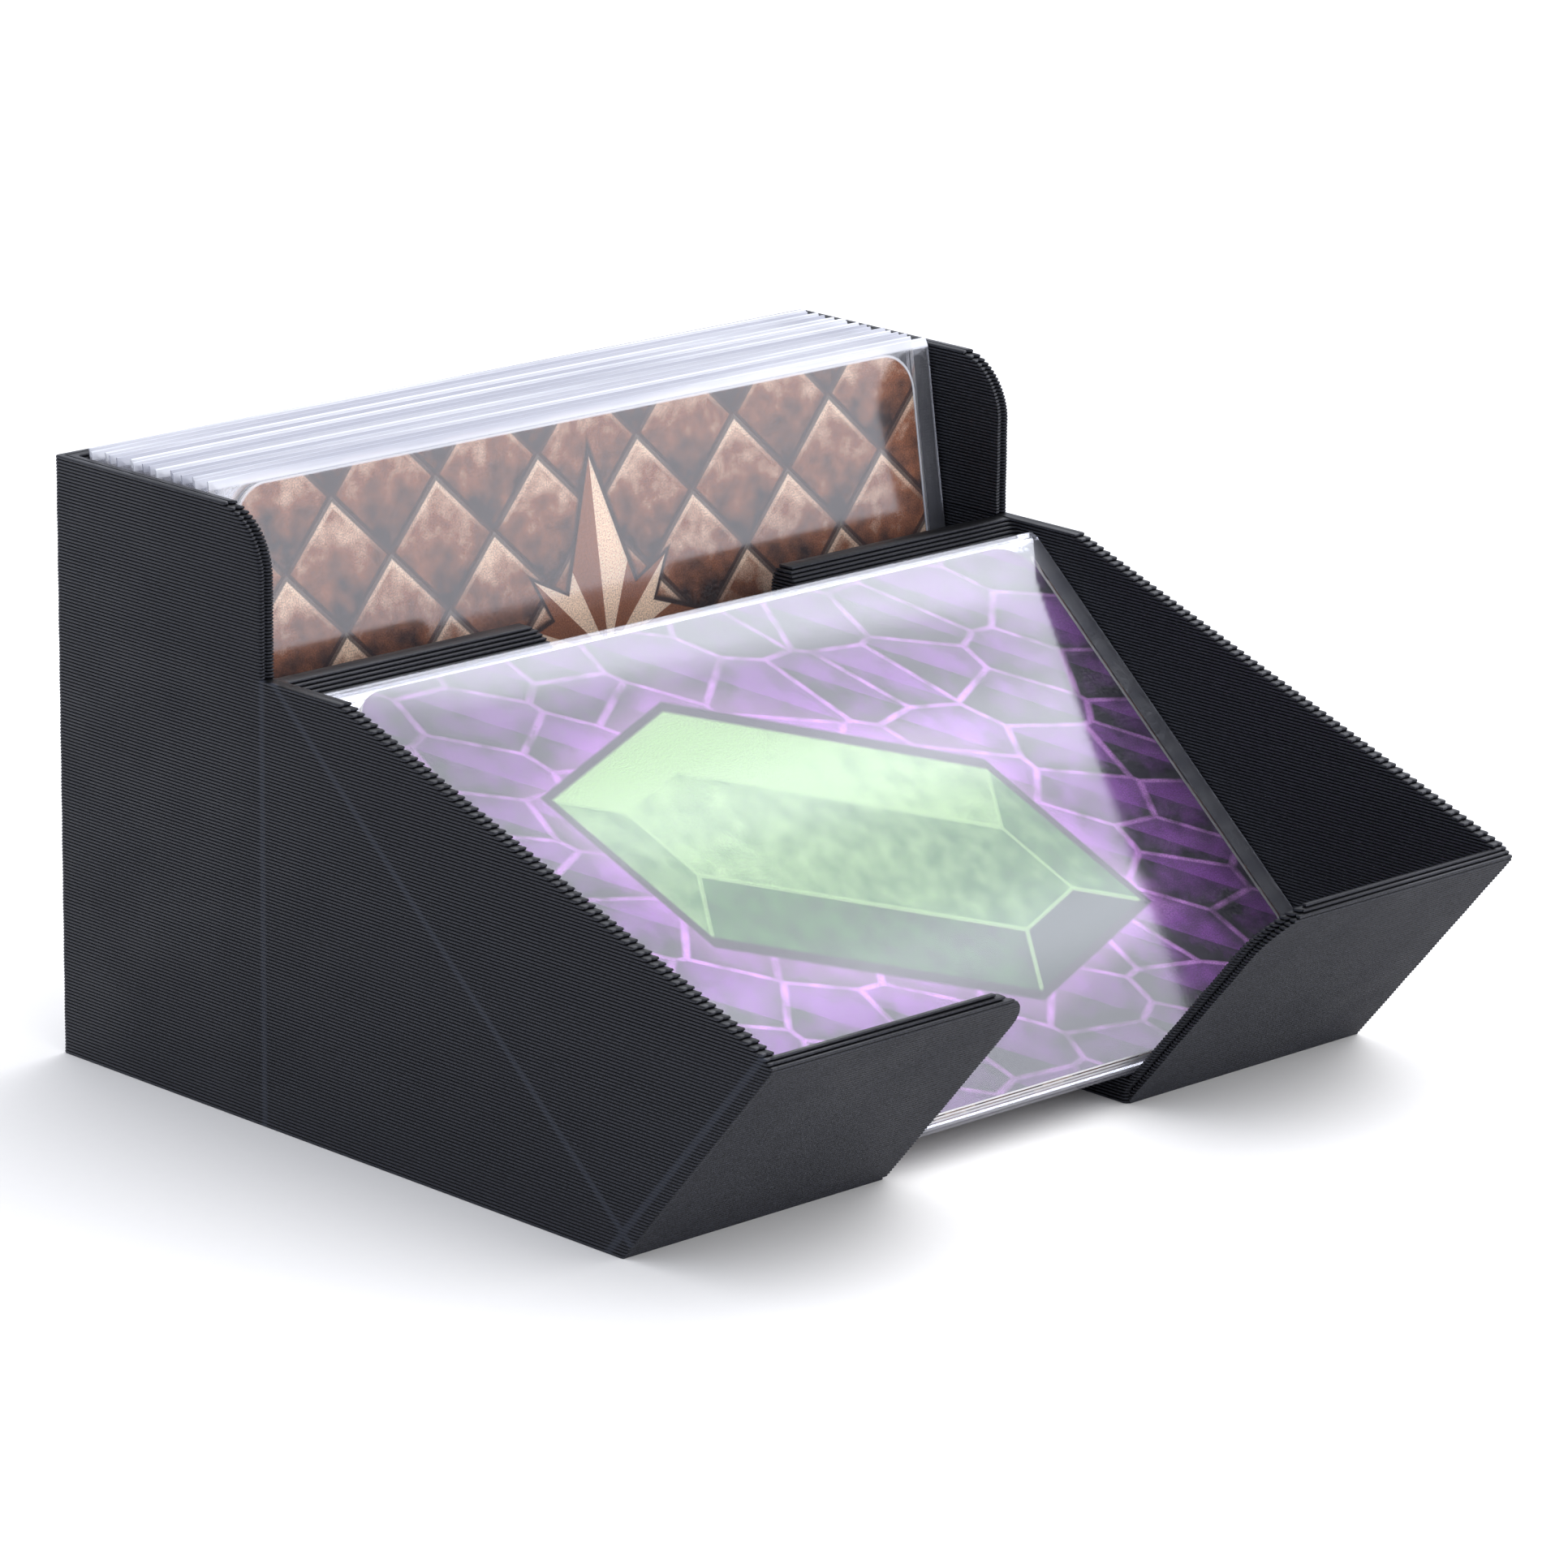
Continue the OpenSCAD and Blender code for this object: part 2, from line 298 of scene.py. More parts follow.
class Print:
    """The holder's derived sizes, and its outlines at the heights of the printed layers."""

    # Easing of the upright outer edges, the inner corners and the cut edges
    OUTER_EASE = 0.35 * MM
    INNER_EASE = 0.3 * MM
    CUT_EASE = 0.1 * MM
    # Half width of the groove between a wall's two printed lines
    HALF_GROOVE = 0.2 * MM

    def __init__(self, sizes):
        self.sizes = sizes
        self.half = HOLDER_HIGH.x
        self.inner = self.half - sizes.wall
        self.back = HOLDER_HIGH.y
        self.top = HOLDER_HIGH.z
        self.layers = round(self.top / sizes.layer)
        self.step = self.top / self.layers
        rise, run = math.sin(sizes.slope), math.cos(sizes.slope)
        self.box_back = self.back - sizes.wall
        self.box_front = self.box_back - sizes.box_depth
        self.shoulder = self.box_front - sizes.shoulder
        self.floor_top = self.box_front - sizes.wall
        self.partition = sizes.tray_low + sizes.floor_length * rise
        self.tray = self.floor_top - sizes.floor_length * run
        self.lip_inner = (self.tray - sizes.lip_height * rise,
                          sizes.tray_low + sizes.lip_height * run)
        self.lip_outer = (self.lip_inner[0] - sizes.lip_thickness * run,
                          self.lip_inner[1] - sizes.lip_thickness * rise)
        self.foot = self.lip_outer[0] + self.lip_outer[1] * math.tan(sizes.slope)

    def levels(self, low, high):
        """Whole layers from height low to height high, and their middle heights."""
        first, last = round(low / self.step), round(high / self.step)
        number = np.arange(first, last)
        return number, (number + 0.5) * self.step

    def floor(self, z):
        """Y of the sloping floor at height z."""
        return self.tray + (z - self.sizes.tray_low) / math.tan(self.sizes.slope)

    def floor_height(self, y):
        """Height of the sloping floor at y."""
        return self.sizes.tray_low + (y - self.tray) * math.tan(self.sizes.slope)

    def lip_face(self, z):
        """Y of the lip's inner face at height z."""
        return self.tray - (z - self.sizes.tray_low) * math.tan(self.sizes.slope)

    def front(self, z):
        """Y of the side walls' front edge at height z: up the lip's outer face, over its top,
        back up the walls' slope, and up the draw box with the rim's round at the top."""
        sloped = np.interp(z, [0, self.lip_outer[1], self.lip_inner[1], self.partition],
                           [self.foot, self.lip_outer[0], self.lip_inner[0], self.shoulder])
        radius = self.sizes.rim_round
        over = np.clip(z - (self.top - radius), 0, radius)
        upright = self.box_front + radius - np.sqrt(radius ** 2 - over ** 2)
        return np.where(z < self.partition, sloped, upright)

    def stack(self, number, outline, inward=1.0):
        """Skin of printed layers: each layer's outline is drawn six times, from the groove over
        the round of its bead and nearly back, and stands back by its share of the groove along
        the outline's own normal. Beads differ a little from layer to layer. Inward is -1 for a
        cutter."""
        groove = self.sizes.groove
        along = np.roll(outline, -1, axis=1) - np.roll(outline, 1, axis=1)
        along /= np.linalg.norm(along, axis=2, keepdims=True)
        normal = np.stack([along[..., 1], -along[..., 0]], axis=-1)
        uneven = 0.1 * groove * np.sin(number * 0.37)[:, None, None]
        # Place in a layer's height, and the share of the groove's depth that the bead has there
        bead = {0.0: 1.0, 0.1: 0.45, 0.25: 0.1, 0.5: 0.0, 0.75: 0.1, 0.9: 0.45}
        rows = [outline - normal * (inward * groove * depth + uneven) for depth in bead.values()]
        heights = [(number + part) * self.step for part in bead]
        rings = np.stack(rows, axis=1).reshape(-1, outline.shape[1], 2)
        level = np.stack(heights, axis=1).reshape(-1)
        level[0] = number[0] * self.step
        rings = np.concatenate([rings, rows[0][-1:]])
        level = np.append(level, (number[-1] + 1) * self.step)
        heights = np.broadcast_to(level[:, None, None], (*rings.shape[:2], 1))
        return tube(np.concatenate([rings, heights], axis=2))

    def body(self):
        """Outlines of the whole block: its back and side edges, and a front edge with a dent
        where a wall's two printed lines meet, deep in the upright edges of the draw box."""
        number, z = self.levels(0, self.top)
        front = self.front(z)
        middle = (self.half + self.inner) / 2
        # Hardly any in the lip's outer face, more in the sloping edges
        depth = np.interp(z, [self.lip_outer[1], self.lip_inner[1]], [0.05, 0.3])
        dent = np.where(z < self.partition, depth, 1.0) * self.sizes.bead_groove
        left = [(-self.half, self.back), (-self.half, front), (-middle - self.HALF_GROOVE, front),
                (-middle, front + dent), (-middle + self.HALF_GROOVE, front)]
        right = [(-x, y) for x, y in reversed(left)]
        return self.stack(number, rounded(outlines(z, left + right), self.OUTER_EASE, 4))

    def box_cut(self):
        """Cutter of the draw box: an upright block from the base to above the rim."""
        number, z = self.levels(self.sizes.base, self.top + 2 * self.step)
        corners = [(self.inner, self.box_back), (-self.inner, self.box_back),
                   (-self.inner, self.box_front), (self.inner, self.box_front)]
        return self.stack(number, rounded(outlines(z, corners), self.INNER_EASE), -1.0)

    def tray_cut(self):
        """Cutter of the tray: from the sloping floor to the lip's inner face, and above the lip
        to past the front. Above the partition it reaches back into the draw box."""
        number, z = self.levels(self.sizes.tray_low, self.top + 2 * self.step)
        back = np.where(z < self.partition, self.floor(z), self.box_back - PAST)
        front = np.where(z < self.lip_inner[1], self.lip_face(z), self.lip_outer[0] - PAST)
        corners = [(self.inner, back), (-self.inner, back), (-self.inner, front), (self.inner, front)]
        return self.stack(number, rounded(outlines(z, corners), self.INNER_EASE), -1.0)

    def slot_cut(self):
        """Cutter of the finger gap: an upright slot with a round end under the tray, which
        widens to the lip's rounded corners towards the lip's top and leaves a groove between
        the two printed lines in the lip's ends."""
        sizes = self.sizes
        half = sizes.gap / 2
        end = self.foot + sizes.gap_reach
        number, z = self.levels(-2 * self.step, self.floor_height(end) + 1 * MM)
        below = np.clip((self.lip_inner[1] - z) / math.cos(sizes.slope), 0, sizes.gap_round)
        flare = half + sizes.gap_round - np.sqrt(
            sizes.gap_round ** 2 - (sizes.gap_round - below) ** 2)
        round_y = end - half
        mouth = self.tray + 1 * MM
        middle = np.minimum(self.lip_face(z) - sizes.lip_thickness / 2 / math.cos(sizes.slope),
                            mouth - 1 * MM)
        # A hair wider than the slot's round end, so that no two corners fall together
        wide = flare + 0.01 * MM
        turn = np.linspace(0, math.pi, 13)
        corners = [(half * math.cos(a), round_y + half * math.sin(a)) for a in turn]
        side = [(half, mouth), (wide, mouth - 0.5 * MM), (wide, middle + self.HALF_GROOVE),
                (flare + sizes.bead_groove, middle), (wide, middle - self.HALF_GROOVE),
                (wide, self.lip_outer[0] - PAST)]
        corners += [(-x, y) for x, y in side] + side[::-1]
        return self.stack(number, rounded(outlines(z, corners), self.CUT_EASE, 2), -1.0)

    def rim_cut(self):
        """Cutter of the groove between the two printed lines on the rim: a narrow wedge carried
        along the middle of the left wall's top, the rear wall's and the right wall's."""
        middle = (self.half + self.inner) / 2
        rear = (self.back + self.box_back) / 2
        start = self.box_front + self.sizes.rim_round - MM
        path = np.array([(-middle, start), (-middle, rear), (middle, rear), (middle, start)])
        sides = np.array([(1.0, 0), (1, -1), (-1, -1), (-1, 0)])
        profile = np.array([(-0.12, 0.1), (0, -0.2), (0.12, 0.1)]) * MM
        flat = path[:, None] + sides[:, None] * profile[None, :, :1]
        heights = np.broadcast_to(self.top + profile[None, :, 1:], (4, 3, 1))
        return tube(np.concatenate([flat, heights], axis=2))

    def notch_cut(self):
        """Cutter of the partition's notch: a block whose half width follows the round corners
        at the notch's bottom and the flare at its top."""
        sizes = self.sizes
        bottom = self.partition - sizes.notch_depth
        number, z = self.levels(bottom, self.partition + 3 * self.step)
        low = sizes.notch_corner - np.clip(z - bottom, 0, sizes.notch_corner)
        high = sizes.notch_round - np.clip(self.partition - z, 0, sizes.notch_round)
        half = (sizes.notch / 2 - sizes.notch_corner + sizes.notch_round
                + np.sqrt(sizes.notch_corner ** 2 - low ** 2)
                - np.sqrt(sizes.notch_round ** 2 - high ** 2))
        back = self.box_front + 2 * MM
        front = self.floor(bottom) - 2 * MM
        corners = [(half, back), (-half, back), (-half, front), (half, front)]
        return self.stack(number, rounded(outlines(z, corners), self.CUT_EASE), -1.0)


def carve(piece, cutter):
    """Cuts one object from another, after the piece's own modifiers, and deletes the cutter."""
    step = piece.modifiers.new("carve", "BOOLEAN")
    step.operation = "DIFFERENCE"
    step.solver = "MANIFOLD"
    step.object = cutter
    graph = bpy.context.evaluated_depsgraph_get()
    carved = bpy.data.meshes.new_from_object(piece.evaluated_get(graph))
    piece.modifiers.clear()
    old, worn = piece.data, cutter.data
    piece.data = carved
    bpy.data.objects.remove(cutter)
    bpy.data.meshes.remove(old)
    bpy.data.meshes.remove(worn)


def printed_filament(settings, plan):
    """Black PLA as the nozzle leaves it: satin beads with a fine grain. The colour is painted lighter on
    the beads' backs, a painted highlight, than in the grooves between the layers, painted shade.
    Thin lighter lines on the outer walls, painted highlights, show where the partition, the floor and the
    lip join them, because the beads bulge a little there and catch the light."""
    material, node = new_material("black PLA, printed in layers")
    place = node("TexCoord", output="Object")
    # Grain of the cooled plastic, 0.12 mm
    grain = node("TexNoise", {"Vector": place, "Scale": 1 / (0.12 * MM), "Detail": 3.0})
    # Slow drift along the beads, 6 mm
    drift = node("TexNoise", {"Vector": place, "Scale": 1 / (6 * MM), "Detail": 2.0})
    rough = node("MapRange", [drift, 0.3, 0.7, 0.36, 0.5])
    # Height within a layer, 0 in the groove and 0.5 on the bead's back
    place_parts = node("SeparateXYZ", [place]).node.outputs
    layer = node("Math.MULTIPLY", [place_parts[2], 1 / plan.step])
    layer = node("Math.PINGPONG", [layer, 0.5])
    # Painted light and shade: a mask from 0 in the groove to 1 on the bead's back, flecked by the grain,
    # takes the base colour from the grooves' painted shade to the beads' painted highlight
    bead = node("MapRange", [layer, 0.1, 0.4], interpolation_type="SMOOTHSTEP")
    fleck = node("MapRange", [grain, 0.35, 0.65, 0.25, 1.0])
    bead = node("Math.MULTIPLY", [bead, fleck])
    tone = blend(node, bead, settings.black, settings.bead)
    # Joint lines, painted highlights where the beads bulge: a point (origin y, origin z) and a direction
    # each, and the distance from them
    slope = settings.slope
    joints = [(plan.box_front, 0.0, 0.0, 1.0),
              (plan.tray, settings.tray_low, math.cos(slope), math.sin(slope)),
              (plan.tray, settings.tray_low, -math.sin(slope), math.cos(slope))]
    nearest = None
    for y, z, along_y, along_z in joints:
        from_joint = node("VectorMath.SUBTRACT", [place, (0, y, z)])
        away = node("VectorMath.DOT_PRODUCT", [from_joint, (0, along_z, -along_y)], output="Value")
        away = node("Math.ABSOLUTE", [away])
        if nearest:
            away = node("Math.MINIMUM", [nearest, away])
        nearest = away
    line = node("MapRange", [nearest, 0.12 * MM, 0.4 * MM, 1.0, 0.0], interpolation_type="SMOOTHSTEP")
    across = node("Math.ABSOLUTE", [place_parts[0]])
    outer = node("Math.GREATER_THAN", [across, plan.half - settings.wall / 4])
    below = node("Math.LESS_THAN", [place_parts[2], plan.partition])
    line = node("Math.MULTIPLY", [line, outer])
    line = node("Math.MULTIPLY", [line, below])
    # Painted highlight: the joint lines' lighter colour stands for the light that the bulging beads catch
    tone = blend(node, line, tone, settings.joint)
    bump = node("Bump", {"Height": grain, "Strength": 0.25, "Distance": 0.02 * MM})
    shader = node("BsdfPrincipled", {"Base Color": tone, "Roughness": rough, "IOR": 1.46,
                                     "Specular IOR Level": 0.19, "Normal": bump})
    node("OutputMaterial", {"Surface": shader})
    return material


class PrintHolder(bpy.types.Operator):
    """Builds the holder from its printed layers"""

    bl_idname = "cardholder.print_holder"
    bl_label = "Print the holder"

    def execute(self, context):
        settings = context.scene.card_holder
        plan = Print(settings)
        material = printed_filament(settings, plan)
        holder = new_object("printed_holder", *plan.body(), [material])
        holder.modifiers.new("split", "TRIANGULATE")
        for name in ("box_cut", "tray_cut", "slot_cut", "notch_cut", "rim_cut"):
            carve(holder, new_object(name, *getattr(plan, name)(), []))
        holder.data.shade_smooth()
        holder.data.set_sharp_from_angle(angle=math.radians(62))
        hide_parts("holder")
        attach(holder, "holder")
        return {"FINISHED"}


def pile_members():
    """(pile, number, across, up, out) of each sleeved card: its axes come from its joint, which
    draws a standing card up its own plane and lifts a lying card square off it."""
    found = []
    across = np.array([1.0, 0, 0])
    for joint in frame["joints"]:
        pile, number, _ = joint["name"].split("_")
        axis = np.array(joint["axis"], float)
        if pile == "draw":
            up, out = axis, np.cross(across, axis)
        else:
            up, out = np.cross(axis, across), axis
        found.append((pile, int(number), across, up, out))
    return found


def lay(node, local, axes):
    """Local points (across, up, out) set in the frame about the middle of a CAD node."""
    low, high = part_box(node)
    return np.array((low + high) / 2) + local @ np.stack(axes)


def bowed(pile, number, across, up, settings):
    """How far a standing sleeve bows at (across, up): a lean that grows with the square of the
    height, and a twist to one side. Sines of its number make both differ from the next one's."""
    if pile != "draw":
        return 0 * across
    height = (up / settings.height + 0.5) ** 2
    lean = 0.6 * math.sin(1.1 * number + 2.0)
    twist = 0.5 * math.sin(1.7 * number) * across / (settings.width / 2)
    return settings.bow * height * (lean + twist)


def ease(t):
    """A smooth step from 0 to 1."""
    t = np.clip(t, 0, 1)
    return t * t * (3 - 2 * t)


def sleeve_rings(settings, pocket_t, bow, lift):
    """A pouch as one profile carried up the sleeve. The profile runs along the front film, turns
    in at the open side as far as the card's edge, comes out again along the rear film and runs
    back along it. The films close up towards the three welded sides. A loose front film stands
    off the card, most near its upper edge, with cosine waves up its height. It comes down to the
    card at all sides, more gently towards the open side."""
    half_w, half_h = settings.width / 2, settings.height / 2
    edge = np.concatenate([np.array([0, 0.5, 1]) * settings.seam,
                           np.linspace(settings.seam, settings.seam_slope, 4)[1:]])
    mouth_depth, least_gap = 1.6 * MM, 0.002 * MM

    def spread(half, margin, count):
        between = np.linspace(margin - half, half - margin, count)
        return np.concatenate([edge - half, between, half - edge[::-1]])

    u, v = spread(half_w, 2 * MM, 17), spread(half_h, 1.5 * MM, 29)
    across, up = np.meshgrid(u, v)
    mouth, mouth_up = np.meshgrid(np.linspace(half_w, half_w - mouth_depth, 4), v)

    def outer(u, v):
        welded = np.minimum(half_h - np.abs(v), u + half_w)
        return settings.film + (settings.thickness / 2 - settings.film) * ease(welded / settings.seam_slope)

    def inner(v):
        open_part = (half_h - np.abs(v) - settings.seam) / (settings.seam_slope - settings.seam)
        return least_gap + (pocket_t / 2 - least_gap) * ease(open_part)

    front = [(across, up, outer(across, up)), (mouth, mouth_up, inner(mouth_up))]
    loop = [(a, b, c + bow(a, b)) for a, b, c in front]
    loop += [(a[:, ::-1], b[:, ::-1], (bow(a, b) - c)[:, ::-1]) for a, b, c in reversed(front)]
    side_bend, bend = 12 * MM, (4.5 + 2 * across / half_w) * MM
    held = ease((half_w - np.abs(across)) / side_bend) * ease((half_h - np.abs(up)) / bend)
    from_foot = up + half_h
    waves = 0.45 - 0.45 * np.cos(math.tau * from_foot / settings.wave)
    loose = lift * held * (0.6 * from_foot / settings.height + waves)
    loop[0] = (across, up, loop[0][2] + loose)
    return np.concatenate([np.stack(part, axis=-1) for part in loop], axis=1)


def sleeve_film(settings, card, pile, white_share):
    """Cast polypropylene film: clear, with a fine grain that softens what it mirrors, a thin haze, whiter
    edges where the film runs free of the card, and painted highlights: a light crease along the card's
    outline, where the film bends over its edge, and a white cut edge.
    Long edges keep a share of their white, as do the crease and the cut edge; a small share is painted
    shade for the lying pile, on which more light falls."""
    material, node = new_material(f"clear polypropylene, cast film, {pile} pile")
    place = node("UVMap", uv_map="flat")
    # Grain of the casting roller, 0.25 mm
    grain = node("TexNoise", {"Vector": place, "Scale": 1 / 0.25, "Detail": 2.0})
    bump = node("Bump", {"Height": grain, "Strength": 0.04, "Distance": 0.02 * MM})
    size = node("VectorMath.ABSOLUTE", [place])
    along = node("SeparateXYZ", [place])
    height = node("SeparateXYZ", [size], output=1)
    half_w, half_h, corner = card.width / 2 / MM, card.height / 2 / MM, card.corner / MM
    speck = node("MapRange", [grain, 0.3, 0.7, 0.3 * settings.haze, 1.7 * settings.haze])
    weld = node("MapRange", [along, -half_w, -half_w - 0.3, 0.0, settings.side_haze])
    # Long welded edges scatter; lying sleeves keep only their share of that white, painted shade for the
    # stronger light on them
    tops = node("MapRange", [height, half_h, half_h + 0.2, 0.0, white_share * settings.seam_haze])
    free = node("Math.MAXIMUM", [weld, tops])
    free = node("Math.MAXIMUM", [free, speck])
    # Distance from the card's outline, a rectangle with round corners
    past = node("VectorMath.SUBTRACT", [size, (half_w - corner, half_h - corner, 0)])
    past = node("VectorMath.MAXIMUM", [past, (0, 0, 0)])
    away = node("VectorMath.LENGTH", [past], output="Value")
    away = node("Math.SUBTRACT", [away, corner])
    away = node("Math.ABSOLUTE", [away])
    # Painted highlight along the card's outline, where the film bends over the card's edge: scattered white
    # in a narrow band
    crease = node("MapRange", [away, 0.05, 0.16, white_share * settings.crease_haze, 0.0])
    haze = node("Math.MAXIMUM", [free, crease])
    # Painted highlight: the cut edge of the film, where it gathers light, scatters white
    edge = settings.height / 2 / MM - settings.edge / MM
    cut = node("MapRange", [height, edge - 0.02, edge, 0.0, 0.7 * white_share])
    # No two sleeves get this painted highlight alike: streaks about 50 mm long and one sleeve apart, which
    # also shift the scattered colour from the tint to white
    spot = node("TexCoord", output="Object")
    spot = node("VectorMath.MULTIPLY", [spot, (0.02 / MM, 1 / MM, 0.1 / MM)])
    streak = node("TexNoise", {"Vector": spot, "Scale": 1.0, "Detail": 1.0})
    streak = node("MapRange", [streak, 0.38, 0.62, 0.1, 1.0])
    cut = node("Math.MULTIPLY", [cut, streak])
    haze = node("Math.MAXIMUM", [haze, cut])
    white = blend(node, streak, settings.tint, settings.white)
    mirror = node("Fresnel", {"IOR": 1.49, "Normal": bump})
    # A film mirrors at both of its faces
    twice = 1.9
    faces = node("MapRange", [height, half_h, half_h + 0.2, twice, twice * white_share])
    mirror = node("Math.MULTIPLY", [mirror, faces], use_clamp=True)
    clear = node("BsdfTransparent", {"Color": settings.clear})
    gloss = node("BsdfGlossy", {"Color": (1, 1, 1, 1), "Roughness": 0.12, "Normal": bump})
    milky = node("BsdfDiffuse", {"Color": white})
    film = node("MixShader", [mirror, clear, gloss])
    shader = node("MixShader", [haze, film, milky])
    node("OutputMaterial", {"Surface": shader})
    return material


def flat_map(piece, local):
    """Stores each point's place on the flat card, in millimetres from its middle, as a UV map."""
    corner_points = np.empty(len(piece.data.loops), np.int32)
    piece.data.loops.foreach_get("vertex_index", corner_points)
    layer = piece.data.uv_layers.new(name="flat")
    layer.data.foreach_set("uv", (local[corner_points, :2] / MM).astype(np.float32).ravel())


class FillSleeves(bpy.types.Operator):
    """Builds the clear sleeves of both piles"""

    bl_idname = "cardholder.sleeves"
    bl_label = "Make the sleeves"

    def execute(self, context):
        settings = context.scene.card_sleeves
        cards = context.scene.cards
        # The lying pile's copy of the film keeps less white on its edges: painted shade, for the stronger
        # light that falls on it
        films = {"draw": sleeve_film(settings, cards, "draw", 1.0),
                 "discard": sleeve_film(settings, cards, "discard", settings.lying)}
        pocket_t = settings.thickness - 2 * settings.film
        members = pile_members()
        uppermost = max(number for pile, number, *_ in members if pile == "discard")
        for pile, number, *axes in members:
            name = f"{pile}_sleeve_{number:02d}"
            lift = settings.lift if (pile, number) == ("discard", uppermost) else 0.0
            local, faces = tube(sleeve_rings(
                settings, pocket_t,
                lambda across, up: bowed(pile, number, across, up, settings), lift))
            sleeve = new_object(f"film_{name}", lay(name, local, axes), faces, [films[pile]])
            flat_map(sleeve, local)
            sleeve.data.shade_smooth()
            sleeve.data.set_sharp_from_angle(angle=math.radians(60))
            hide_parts(name)
            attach(sleeve, f"{pile}_{number:02d}")
        return {"FINISHED"}


def card_rings(settings, bow):
    """A card as one flat profile carried up its height: the profile's half width follows the
    round corners, by Pythagoras, and the ends are closed by its cut edges."""
    half_w, half_h, radius = settings.width / 2, settings.height / 2, settings.corner
    turn = np.linspace(0, math.pi / 2, 9)
    corner_v = half_h - radius + radius * np.sin(turn)
    v = np.concatenate([-corner_v[::-1], np.linspace(radius - half_h, half_h - radius, 13)[1:-1], corner_v])
    over = np.clip(np.abs(v) - (half_h - radius), 0, radius)
    reach = half_w - radius + np.sqrt(radius ** 2 - over ** 2)
    across = np.linspace(-1, 1, 13) * reach[:, None]
    up = np.broadcast_to(v[:, None], across.shape)
    shift = bow(across, up)
    front = np.stack([across, up, shift + settings.thickness / 2], axis=-1)
    rear = np.stack([across, up, shift - settings.thickness / 2], axis=-1)
    return np.concatenate([front, rear[:, ::-1]], axis=1)


def press(node, place, picture):
    """Ends a print: the ink's screen dots show as a grain of 0.12 mm, under a satin coating."""
    dots = node("TexNoise", {"Vector": place, "Scale": 1 / 0.12, "Detail": 0.0})
    ink = node("MapRange", [dots, 0.25, 0.75, 0.7, 1.3])
    inked = node("VectorMath.SCALE", {0: picture, "Scale": ink})
    shader = node("BsdfPrincipled", {"Base Color": inked, "Roughness": 0.45, "IOR": 1.5})
    node("OutputMaterial", {"Surface": shader})


def back_print(settings):
    """Coated card stock, offset printed: a brown quilt of lozenges, each lit from above, with a
    two-toned star of eight rays on it, under a satin coating."""
    material, node = new_material("coated card, printed back")
    dark, mid, light = settings.back_dark, settings.back_mid, settings.back_light
    place = node("UVMap", uv_map="flat")
    apart = node("SeparateXYZ", [place]).node
    u, v = apart.outputs[0], apart.outputs[1]
    # Lozenge coordinates: the sum and the difference of u and v, from 0 to 1 over each lozenge
    ways, edges = [], []
    for way in ("ADD", "SUBTRACT"):
        count = node(f"Math.{way}", [u, v])
        count = node("Math.MULTIPLY_ADD", [count, MM / settings.lozenge, MIDDLE])
        ways.append(node("Math.FRACT", [count]))
        edges.append(node("Math.PINGPONG", [ways[-1], 0.5]))
    lit = node("Math.SUBTRACT", [ways[0], ways[1]])
    edge = node("Math.MINIMUM", [edges[0], edges[1]])
    # Brush strokes of the picture, 2 mm
    stroke = node("TexNoise", {"Vector": place, "Scale": 1 / 2, "Detail": 5.0})
    tone = node("Math.MULTIPLY_ADD", [lit, 0.35, stroke])
    quilt = node("ValToRGB", [tone])
    ramp = quilt.node.color_ramp
    ramp.elements[0].position, ramp.elements[0].color = 0.2, dark
    ramp.elements[1].position, ramp.elements[1].color = 0.95, light
    ramp.elements.new(0.55).color = mid
    # A light rim on the upper sides of each lozenge, and a dark seam round it
    shine = node("MapRange", [edge, 0.08, 0.1, 0.9, 0.0])
    shine = node("Math.MULTIPLY", [shine, lit], use_clamp=True)
    picture = blend(node, shine, quilt, light)
    seam = node("MapRange", [edge, 0.035, 0.05, 0.85, 0.0])
    picture = blend(node, seam, picture, dark)
    # Star: four long and four short straight rays, each split into a light and a dark half.
    # With x the larger and y the smaller of two sizes, a ray of reach r ends where x + 3 y = r.
    raised = node("VectorMath.SUBTRACT", [place, (0, settings.star_rise / MM, 0)])
    inside = None
    for tilt, reach in ((0.0, 1.0), (math.tau / 8, 0.62)):
        turned = node("VectorRotate", {"Vector": raised, "Angle": tilt}, rotation_type="Z_AXIS")
        sizes = node("VectorMath.ABSOLUTE", [turned])
        sizes = node("SeparateXYZ", [sizes]).node.outputs
        x = node("Math.MAXIMUM", [sizes[0], sizes[1]])
        y = node("Math.MINIMUM", [sizes[0], sizes[1]])
        ray = node("Math.MULTIPLY_ADD", [y, 3.0, x])
        ray = node("Math.DIVIDE", [ray, reach * settings.star / MM])
        if inside:
            ray = node("Math.MINIMUM", [inside, ray])
        inside = ray
    ends = node("SeparateXYZ", [raised]).node.outputs
    bearing = node("Math.ARCTAN2", [ends[1], ends[0]])
    turn = node("Math.MULTIPLY_ADD", [bearing, 8 / math.tau, MIDDLE])
    half = node("Math.FRACT", [turn])
    shaded = node("Math.GREATER_THAN", [half, 0.5])
    rays = blend(node, shaded, light, mid)
    rim = node("MapRange", [inside, 1.0, 1.06, 1.0, 0.0])
    picture = blend(node, rim, picture, dark)
    core = node("MapRange", [inside, 0.93, 0.95, 1.0, 0.0])
    picture = blend(node, core, picture, rays)
    press(node, place, picture)
    return material


